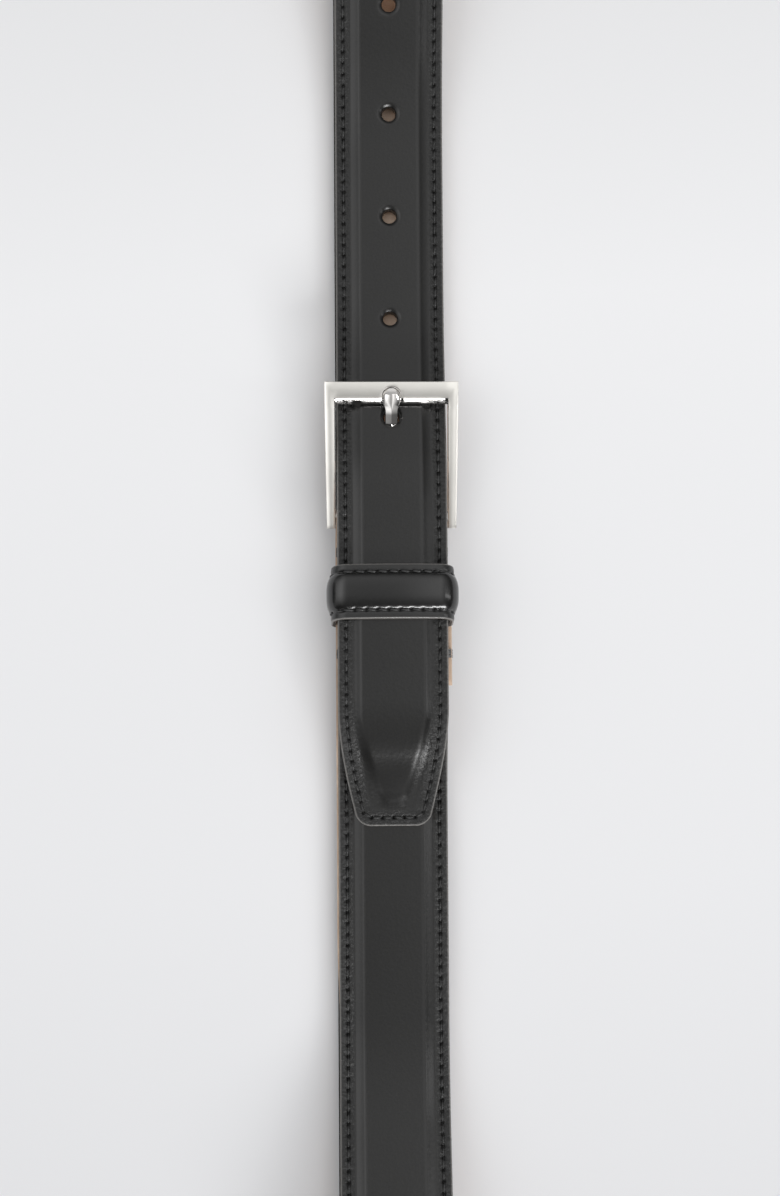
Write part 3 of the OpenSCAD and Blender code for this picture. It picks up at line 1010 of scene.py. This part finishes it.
def seam_stitch(bundle, a, b, lean):
    """A stitch on the leather and the one on the lining, between two (across, along)."""
    up = up_at((a[1] + b[1]) / 2)
    stitch(bundle, spot(*a, SEAM_H), spot(*b, SEAM_H), up, lean)
    stitch(bundle, spot(*a, 0.0), spot(*b, 0.0), -up, lean, corners=5)


def strap_seam(side, name, node):
    bundle = Bundle()
    rng = random.Random(11 + side)
    for k in range(last_k):
        s0 = S_FIRST + k * STITCH
        s1 = s0 + STITCH
        a, b = [(side * (HALF_W - SEAM_IN) + float(shift(s)), s) for s in (s0, s1)]
        seam_stitch(bundle, a, b, 0.09 + rng.uniform(-0.03, 0.03))
    obj = bundle.build(name, THREAD)
    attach(obj, "strap")
    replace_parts(obj, node)


strap_seam(-1, "seam_stitches_left", "seam_thread_left")
strap_seam(1, "seam_stitches_right", "seam_thread_right")

bundle = Bundle()
rng = random.Random(5)
front = TABLE_S > marks[LAST_BEND_END + 1]
needle_s = np.interp(-NEEDLES[:, 1], -TABLE[front, 0], TABLE_S[front])
needle_places = list(zip(NEEDLES[:, 0], needle_s))
for k in range(seam_count):
    lean = (0.09 + rng.uniform(-0.03, 0.03)) * (1 if k < seam_count / 2 else -1)
    seam_stitch(bundle, needle_places[k], needle_places[k + 1], lean)
tail_stitches = bundle.build("tail_seam_stitches", THREAD)
bend_with_tail(tail_stitches, ["tail_seam_thread"])


TACK_L = 2.4
WRAPS = 5
WRAP_R = 0.24


def bar_tacks(back, name):
    """Thread wrapped round both edges of the buckle end and the flap."""
    bundle = Bundle()
    rng = random.Random(int(back * 10))
    y0 = BAR_Y - back - TACK_L
    mid_y = y0 + TACK_L / 2
    high = float(spot(0, s_below(mid_y), MARGIN_H)[2])
    low = FLAP_Z - MARGIN_H
    skew = float(shift(FLAP_L - (BAR_Y - mid_y)))
    edge = HALF_W + 0.16
    for side in (-1, 1):
        out_low = max(skew * side, -0.3) if side > 0 else 0.0
        for k in range(WRAPS):
            y = y0 + TACK_L * (k + 0.5) / WRAPS + rng.uniform(-0.05, 0.05)
            line = [(HALF_W - 1.7, high - 0.2), (HALF_W - 1.4, high + 0.16),
                    (edge - 0.5, high + 0.16), (edge - 0.1, high + 0.02), (edge, high - 0.4),
                    (edge + out_low / 2, (high + low) / 2),
                    (edge + out_low, low + 0.4), (edge + out_low - 0.12, low - 0.02),
                    (edge + out_low - 0.5, low - 0.14), (HALF_W - 1.4, low - 0.14),
                    (HALF_W - 1.7, low + 0.2)]
            centres = np.array([(side * x, y + 0.12 * (i % 2), z)
                                for i, (x, z) in enumerate(line)])
            along_y = np.tile([0.0, 1.0, 0.0], (len(line), 1))
            up = unit(np.cross(unit(np.gradient(centres, axis=0)), along_y))
            r = np.full(len(line), WRAP_R)
            bundle.add(*tube(centres, along_y, up, r, r * 0.8, 6))
    obj = bundle.build(name, THREAD)
    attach(obj, "strap")
    return obj


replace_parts(bar_tacks(8.9, "bar_tack_wraps_front"), "bar_tacks_front")
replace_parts(bar_tacks(36.65, "bar_tack_wraps_rear"), "bar_tacks_rear")


# ---- the buckle
def at_bar(points):
    """World points of (x, u, w): across, along the frame from the heel bar, and above it."""
    p = np.asarray(points, float)
    c, s = math.cos(FRAME_TILT), math.sin(FRAME_TILT)
    return np.stack([p[..., 0], BAR_Y + p[..., 1] * c - p[..., 2] * s,
                     BAR_Z + p[..., 1] * s + p[..., 2] * c], axis=-1)


FRAME_HALF = 18.3
ARM_W = 2.9
ARM_IN = FRAME_HALF - ARM_W
FRAME_FRONT = 36.8
FRONT_L = 6.2
FRONT_IN = FRAME_FRONT - FRONT_L
FRAME_HEEL = 3.2
HEEL_TAPER = 0.5
# Each profile runs from the inner lower edge over the top to the outer lower edge, as
# (distance out from the inner edge, height).
ARM_PROFILE = [(0.25, -1.45), (0.0, -1.2), (0.0, 0.2), (0.0, 0.7), (0.0, 1.0), (0.02, 1.2),
               (0.08, 1.33), (0.2, 1.42), (0.5, 1.47), (1.5, 1.5), (2.5, 1.4), (2.78, 1.27),
               (2.9, 1.0), (2.9, -1.2), (2.6, -1.5)]
BAR_PROFILE = [(0.35, -0.95), (0.0, -0.8), (0.0, -0.55), (0.3, 0.05), (0.7, 0.52), (1.05, 0.83),
               (1.35, 1.03), (1.7, 1.19), (2.1, 1.31), (3.8, 1.46), (5.7, 1.37), (6.05, 1.24),
               (6.2, 0.9), (6.2, -0.7), (5.9, -1.0)]
BEVEL_STRIPS = range(7)


# How high the arms arch between front bar and heel, and how far they swell at the heel bar.
OVER = (0.42, 0.2)
UNDER = (0.12, -0.2)


def arm_bow(u, arch, swell):
    t = (u + FRAME_HEEL) / (FRONT_IN + FRAME_HEEL)
    return arch * math.sin(math.pi * min(max(t, 0), 1)) + swell * (1 - smooth(t * 3))


def arm_ring(u, side):
    out = (FRONT_IN - u) / (FRONT_IN + FRAME_HEEL)
    ring = []
    for q, w in ARM_PROFILE:
        width = q * (1 - out * HEEL_TAPER / ARM_W)
        ring.append((side * (ARM_IN + width), u, w + arm_bow(u, *(OVER if w > 0 else UNDER))))
    return ring


def corner_ring(side):
    ring = []
    for (qa, wa), (qb, wb) in zip(ARM_PROFILE, BAR_PROFILE):
        ring.append((side * (ARM_IN + qa), FRONT_IN + qb, (wa + 2 * wb) / 3))
    return ring


def front_ring(x):
    return [(x, FRONT_IN + q, w) for q, w in BAR_PROFILE]


arm_us = [-FRAME_HEEL, -2.2, -1.0, 0.5, 2.5, 5, 8, 11, 14, 17, 20, 23, 25.5, 27.5, 29.0, 29.9]
rings = [arm_ring(u, -1) for u in arm_us] + [corner_ring(-1)]
rings += [front_ring(x) for x in np.linspace(-ARM_IN + 0.9, ARM_IN - 0.9, 25)]
rings += [corner_ring(1)] + [arm_ring(u, 1) for u in arm_us[::-1]]
width = len(ARM_PROFILE)
frame_pts = at_bar(np.concatenate(rings))
polished = [k in BEVEL_STRIPS for k in range(width)] * (len(rings) - 1) + [False, False]
buckle = add_mesh("buckle_frame_cast", frame_pts, loft_faces(len(rings), width), SATIN)
buckle.data.materials.append(POLISHED)
buckle.data.polygons.foreach_set("material_index", [int(v) for v in polished])


def apply_modifiers(obj):
    graph = bpy.context.evaluated_depsgraph_get()
    mesh = bpy.data.meshes.new_from_object(obj.evaluated_get(graph))
    obj.modifiers.clear()
    obj.data = mesh


def cast(name, points, faces, flat=False):
    """A polished piece, or a cutter, from points in the frame's own axes."""
    return add_mesh(name, at_bar(points), faces, POLISHED, flat=flat)


def combine(obj, kind, other):
    """An exact boolean of obj with other, applied by apply_modifiers."""
    join = obj.modifiers.new(kind, "BOOLEAN")
    join.operation = kind
    join.solver = "EXACT"
    join.object = other
    return join


EDGE_SOFT = 0.16
SEAT_HALF = 2.62
SEAT_END = 35.55
SEAT_BACK = 28.0
SEAT_FLOOR = 0.4
seat_arc = [(SEAT_HALF * math.sin(a), SEAT_END - SEAT_HALF * 0.8 * (1 - math.cos(a)))
            for a in np.linspace(-math.pi / 2, math.pi / 2, 41)]
seat_plan = [(-SEAT_HALF, SEAT_BACK)] + seat_arc + [(SEAT_HALF, SEAT_BACK)]
seat = cast("seat_cutter", [(x, u, w) for w in (SEAT_FLOOR, 5.0) for x, u in seat_plan],
            loft_faces(2, len(seat_plan)), flat=True)
combine(buckle, "DIFFERENCE", seat).material_mode = "TRANSFER"
soften = buckle.modifiers.new("edges", "BEVEL")
soften.width = EDGE_SOFT * MM
soften.segments = 3
soften.limit_method = "ANGLE"
soften.angle_limit = math.radians(60)
apply_modifiers(buckle)
bpy.data.objects.remove(seat)
buckle.data.shade_smooth()
buckle.data.set_sharp_from_angle(angle=math.radians(26))
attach(buckle, "buckle")
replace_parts(buckle, "buckle_frame")


# ---- the prong
PRONG_LINE = [(0.0, 2.2), (19.8, -5.8), (23.6, -5.6), (25.0, 0.4), (28.6, 1.5), (35.1, 1.5)]
PRONG_BENDS = [0, 1.6, 1.3, 1.0, 5.0, 0]
EYE_R = 2.8
EYE_BORE = 1.6


def filleted(points, radii, steps=19):
    """A polyline with its corners rounded to the given radii."""
    pts = [np.array(p, float) for p in points]
    line = [pts[0]]
    for i in range(1, len(pts) - 1):
        back, ahead = unit(pts[i - 1] - pts[i]), unit(pts[i + 1] - pts[i])
        angle = math.acos(np.clip(back @ ahead, -1, 1))
        cut_l = radii[i] / math.tan(angle / 2)
        centre = pts[i] + unit(back + ahead) * radii[i] / math.sin(angle / 2)
        a, b = pts[i] + back * cut_l - centre, pts[i] + ahead * cut_l - centre
        for t in np.linspace(0, 1, steps):
            v = a * (1 - t) + b * t
            line.append(centre + unit(v) * radii[i])
    line.append(pts[-1])
    out = [line[0]]
    for p in line[1:]:
        gap = np.linalg.norm(p - out[-1])
        n = max(1, int(gap / 0.5))
        out += [out[-1] + (p - out[-1]) * k / n for k in range(1, n + 1)]
    return np.array(out)


prong_line = filleted(PRONG_LINE, PRONG_BENDS)
tangent = unit(np.gradient(prong_line, axis=0))
normal = np.stack([-tangent[:, 1], tangent[:, 0]], axis=1)
prong_run = run_along(prong_line)
prong_total = prong_run[-1]
prong_rings = []
PRONG_HALF = 1.68
TIP_HALF = 2.45
TIP_ROUND = 2.3
extra = [prong_total - v for v in (2.0, 1.7, 1.4, 1.1, 0.85, 0.6, 0.4, 0.25, 0.12, 0.05, 0.015)]
stations = sorted([v for v in prong_run if v < prong_total - 2.2] + extra)
for run in stations:
    p = line_at(run, prong_run, prong_line)
    n = unit(line_at(run, prong_run, normal))
    left = prong_total - run
    wide = PRONG_HALF + (TIP_HALF - PRONG_HALF) * smooth((6.4 - left) / 3.0)
    near = min(left / TIP_ROUND, 1)
    plan = math.sqrt(max(1 - (1 - near) ** 2, 0))
    wide *= max(plan, 0.06)
    facet = 0.04 + 0.6 * smooth((6.6 - left) / 4.6)
    thick = 0.92 * (0.45 + 0.55 * min(left / 1.1, 1) ** 0.5)
    section = [(0.0, -0.82), (0.72, -0.8), (0.98, -0.4), (1.0, 0.0), (0.93, 0.32), (facet, 1.0),
               (0.0, 1.02), (-facet, 1.0), (-0.93, 0.32), (-1.0, 0.0), (-0.98, -0.4), (-0.72, -0.8)]
    prong_rings.append([(a * wide, *(p + n * b * (thick if b > 0 else 0.92 * max(plan, 0.3))))
                        for a, b in section])
prong = cast("prong_cast", np.concatenate(prong_rings),
             loft_faces(len(prong_rings), len(prong_rings[0])))


def circle(count):
    return [(math.cos(2 * math.pi * i / count), math.sin(2 * math.pi * i / count))
            for i in range(count)]


def eye_mesh():
    """The prong's eye, a short sleeve round the heel bar."""
    half = PRONG_HALF
    section = [(EYE_BORE, -half + 0.12), (EYE_BORE + 0.12, -half), (EYE_R - 0.3, -half),
               (EYE_R - 0.08, -half + 0.1), (EYE_R, -half + 0.35), (EYE_R, half - 0.35),
               (EYE_R - 0.08, half - 0.1), (EYE_R - 0.3, half), (EYE_BORE + 0.12, half),
               (EYE_BORE, half - 0.12)]
    pts = [(x, r * c, r * s) for c, s in circle(56) for r, x in section]
    return cast("prong_eye", pts, loft_faces(56, len(section), closed=True))


def bar_bore():
    """A cutter of the eye's bore, longer than the prong is wide."""
    half = PRONG_HALF + 1
    pts = [(x, EYE_BORE * c, EYE_BORE * s) for x in (-half, half) for c, s in circle(48)]
    return cast("bore_cutter", pts, loft_faces(2, 48))


eye = eye_mesh()
bore = bar_bore()
combine(prong, "DIFFERENCE", bore)
combine(prong, "UNION", eye)
apply_modifiers(prong)
bpy.data.objects.remove(eye)
bpy.data.objects.remove(bore)
prong.data.shade_smooth()
prong.data.set_sharp_from_angle(angle=math.radians(40))
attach(prong, "prong")
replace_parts(prong, "prong")


# ---- the keeper
KEEPER_IN = HALF_W + 0.5
K_LOW = UNDER_Z - 0.3
K_HIGH = OVER_Z + CROWN_H + 0.3
K_R = 0.6
K_TOP_R = 3.0
K_HALF_L = 7.4
K_ROW = 5.15
K_GRAIN_Y = 4.9
K_RIM_HIGHLIGHT_Y = 7.0
LEAN = 0.2


def band_stations():
    """Points and normals round the keeper's inner loop, as (x, z, nx, nz)."""
    out = []
    half, low, high, r, top_r = KEEPER_IN, K_LOW, K_HIGH, K_R, K_TOP_R
    corners = [(half - top_r, high - top_r, 90, top_r), (half - r, low + r, 0, r),
               (-half + r, low + r, -90, r), (-half + top_r, high - top_r, -180, top_r)]
    for i, (cx, cz, a0, r) in enumerate(corners):
        for k in range(13):
            a = math.radians(a0 - 90 * k / 12)
            out.append((cx + r * math.cos(a), cz + r * math.sin(a), math.cos(a), math.sin(a)))
        nx, nz, na, next_r = corners[(i + 1) % 4]
        a = math.radians(a0 - 90)
        start = np.array([cx + r * math.cos(a), cz + r * math.sin(a)])
        b = math.radians(na)
        end = np.array([nx + next_r * math.cos(b), nz + next_r * math.sin(b)])
        n = max(2, int(np.linalg.norm(end - start) / 0.38))
        for k in range(1, n):
            p = start + (end - start) * k / n
            out.append((p[0], p[1], math.cos(a), math.sin(a)))
    return np.array(out)


BAND = band_stations()
BAND_STEP = np.linalg.norm(np.roll(BAND[:, :2], -1, axis=0) - BAND[:, :2], axis=1)
BAND_RUN = np.concatenate([[0], np.cumsum(BAND_STEP)[:-1]])
THICK_PART = smooth((BAND[:, 1] - K_LOW - 0.2) / 2.4)
BAND_X = np.clip(BAND[:, 0] / HALF_W, -1, 1)
SKIN_IN = 0.58
PUFF_H = 1.25
ARCH = 0.6


def band_points(y, offset):
    """World points on the keeper: y from its middle, offset out from the inner loop."""
    x = BAND[:, 0] + BAND[:, 2] * offset
    z = BAND[:, 1] + BAND[:, 3] * offset
    return np.stack([x, KEEPER_Y + y + LEAN * (z - K_HIGH), z], axis=1)


def skin_out(y, needle):
    """The keeper's outer face: flat stitched margins and a padded middle."""
    d = K_HALF_L - abs(y)
    edge = 0.4 - math.sqrt(max(0.16 - max(0.4 - d, 0) ** 2, 0))
    puff = 1 - min(abs(y) / K_ROW, 1) ** 3
    margin = 0.57 + 0.1 * smooth(d / 1.4)
    across = abs(y) - K_ROW
    groove = 0.12 * math.exp(-(across / 0.45) ** 2)
    dip = 0.6 * math.exp(-(across / 0.36) ** 2) * needle
    thick = SKIN_IN + margin + PUFF_H * puff - groove - dip - edge + ARCH * (1 - BAND_X ** 2)
    thin = SKIN_IN + 0.6 - min(edge, 0.3)
    return thin + (thick - thin) * THICK_PART


ROW_STEP = 3.05
needle_k = np.abs(BAND_RUN / ROW_STEP - np.round(BAND_RUN / ROW_STEP)) * ROW_STEP
needle_at = np.exp(-(needle_k / 0.42) ** 2)
margin_y = [4.8, 4.95, 5.05, 5.15, 5.25, 5.35, 5.5, 5.8, 6.2, 6.6, 6.9, 7.05, 7.15, 7.24, 7.31,
            7.36, 7.39, 7.4]
outer_y = sorted([round(v, 3) for v in np.linspace(-4.6, 4.6, 23)]
                 + [side * v for side in (-1, 1) for v in margin_y])
inner_y = [7.38, 7.2, 5, 2.5, 0, -2.5, -5, -7.2, -7.38]


def band_mesh(name, material, faces_out, faces_in, uv_y):
    """A closed band from its outer and inner lines of points."""
    n = len(BAND)
    across = np.repeat(uv_y, n)
    uv = np.stack([np.tile(BAND_RUN, len(uv_y)), across], axis=1) * UV_PER_MM
    grain = smooth((abs(across) - K_GRAIN_Y) / 0.8)
    # The keeper's cut edges get the same painted highlight.
    rim_highlight = smooth((abs(across) - K_RIM_HIGHLIGHT_Y) / 0.2)
    lines = faces_out + faces_in
    faces = loft_faces(len(lines), n, closed=True)
    obj = add_mesh(name, np.concatenate(lines), faces, material, uv, grain, rim_highlight)
    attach(obj, "keeper")
    return obj


skin = band_mesh("keeper_band", KEEPER_LEATHER,
                 [band_points(y, skin_out(y, needle_at)) for y in outer_y],
                 [band_points(y, np.full(len(BAND), SKIN_IN)) for y in inner_y],
                 outer_y + inner_y)
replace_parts(skin, "keeper_outer", "keeper_padding")
liner_y = [-7.3, -7.32, -5, 0, 5, 7.32, 7.3]
liner = band_mesh("keeper_inside", DARK,
                  [band_points(y, np.full(len(BAND), SKIN_IN - 0.02)) for y in liner_y],
                  [band_points(y, np.zeros(len(BAND))) for y in liner_y[::-1]],
                  liner_y + liner_y[::-1])
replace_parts(liner, "keeper_lining")


def keeper_row(y, name, node):
    bundle = Bundle()
    rng = random.Random(31)
    surface = band_points(y, skin_out(y, np.zeros(len(BAND))) + 0.2)
    for k in range(int(BAND_RUN[-1] / ROW_STEP)):
        r0, r1 = k * ROW_STEP, (k + 1) * ROW_STEP
        ends = line_at([r0, r1], BAND_RUN, surface)
        if min(ends[0][2], ends[1][2]) < K_LOW + 1.5:
            continue
        way = line_at((r0 + r1) / 2, BAND_RUN, BAND[:, 2:])
        up = unit(np.array([way[0], 0.0, way[1]]))
        stitch(bundle, ends[0], ends[1], up, 0.12 + rng.uniform(-0.03, 0.03), 0.29)
    obj = bundle.build(name, THREAD)
    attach(obj, "keeper")
    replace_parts(obj, node)


keeper_row(K_ROW, "keeper_stitches_front", "keeper_thread_front")
keeper_row(-K_ROW, "keeper_stitches_rear", "keeper_thread_rear")

# ---- CAD nodes that stay
for node, material in (("strap_core", BOARD), ("heel_bar", STEEL), ("keeper_staple", STEEL)):
    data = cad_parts[node].data
    data.materials.clear()
    data.materials.append(material)


# ---- floor, light and camera
def area_light(name, place_mm, size_mm, radiance):
    """A soft box of that size and about that radiance, turned to the origin."""
    data = bpy.data.lights.new(name, "AREA")
    data.shape = "RECTANGLE"
    data.size, data.size_y = [v * MM for v in size_mm]
    data.energy = radiance * math.pi * data.size * data.size_y
    obj = bpy.data.objects.new(name, data)
    obj.location = Vector(place_mm) * MM
    obj.rotation_euler = (-obj.location).to_track_quat("-Z", "Y").to_euler()
    collection.objects.link(obj)


FLOOR_HALF = 3000.0
FLOOR_Z = -0.1
floor_corners = [(-1, -1), (1, -1), (1, 1), (-1, 1)]
floor = add_mesh("floor", [(x * FLOOR_HALF, y * FLOOR_HALF, FLOOR_Z) for x, y in floor_corners],
                 [(0, 1, 2, 3)], floor_paper(), flat=True)

area_light("key", (1130, -3470, 1640), (2420, 980), 18.7)
area_light("right_strip", (1300, -150, 950), (220, 900), 3.0)

# A dim room under a pale ceiling that is brighter at the back, and two strips along it: a
# bright one on the left and a weaker one right of the middle.
ROOM_ACROSS = [(0.0, 0.9), (0.3, 0.95), (0.44, 0.52), (0.54, 0.52), (0.62, 0.85), (0.8, 0.75),
               (1.0, 0.9)]
ROOM_UP = [(0.0, 0.08), (0.35, 0.18), (0.55, 0.42), (0.72, 0.75), (0.85, 0.95), (1.0, 1.0)]
STRIPS = [(0.02, 0.0), (0.05, 1.0), (0.2, 1.1), (0.33, 0.3), (0.42, 0.0), (0.53, 0.0),
          (0.59, 0.7), (0.68, 0.35), (0.76, 0.0)]
world = bpy.data.worlds.new("studio")
world.use_nodes = True
g = Graph(world)
way = g.node("ShaderNodeTexCoord").outputs["Generated"]
split = g.node("ShaderNodeSeparateXYZ", Vector=way)
left_right = g.math("MULTIPLY_ADD", split.outputs["X"], 0.5, 0.5)
across = g.levels(left_right, ROOM_ACROSS)
ceiling = g.levels(split.outputs["Z"], ROOM_UP)
back = g.math("MAXIMUM", g.math("MULTIPLY_ADD", split.outputs["Y"], 1.1, 1.0), 0.15)
room = g.math("MULTIPLY", g.math("MULTIPLY", back, ceiling), across)
near = g.math("SUBTRACT", 1.05, g.math("MULTIPLY", g.math("ABSOLUTE", split.outputs["Y"]), 1.6))
strips = g.math("MULTIPLY", g.levels(left_right, STRIPS), g.math("MAXIMUM", near, 0.0))
background = world.node_tree.nodes["Background"]
background.inputs["Color"].default_value = (1, 1, 1, 1)
g.put(g.math("ADD", room, strips), background.inputs["Strength"])
scene.world = world

LENS = 48.4
SENSOR = 36.0
CAMERA_AT = (-14.0, -24.7, 449.2)
CAMERA_TURN = (2.634, -1.726, -0.386)
camera_data = bpy.data.cameras.new("camera")
camera_data.lens = LENS
camera_data.sensor_width = SENSOR
camera_data.sensor_height = SENSOR
camera_data.sensor_fit = "AUTO"
camera_data.clip_start = 0.01
camera = bpy.data.objects.new("camera", camera_data)
camera.location = Vector(CAMERA_AT) * MM
camera.rotation_euler = [math.radians(v) for v in CAMERA_TURN]
collection.objects.link(camera)
scene.camera = camera
scene.view_settings.view_transform = "Standard"
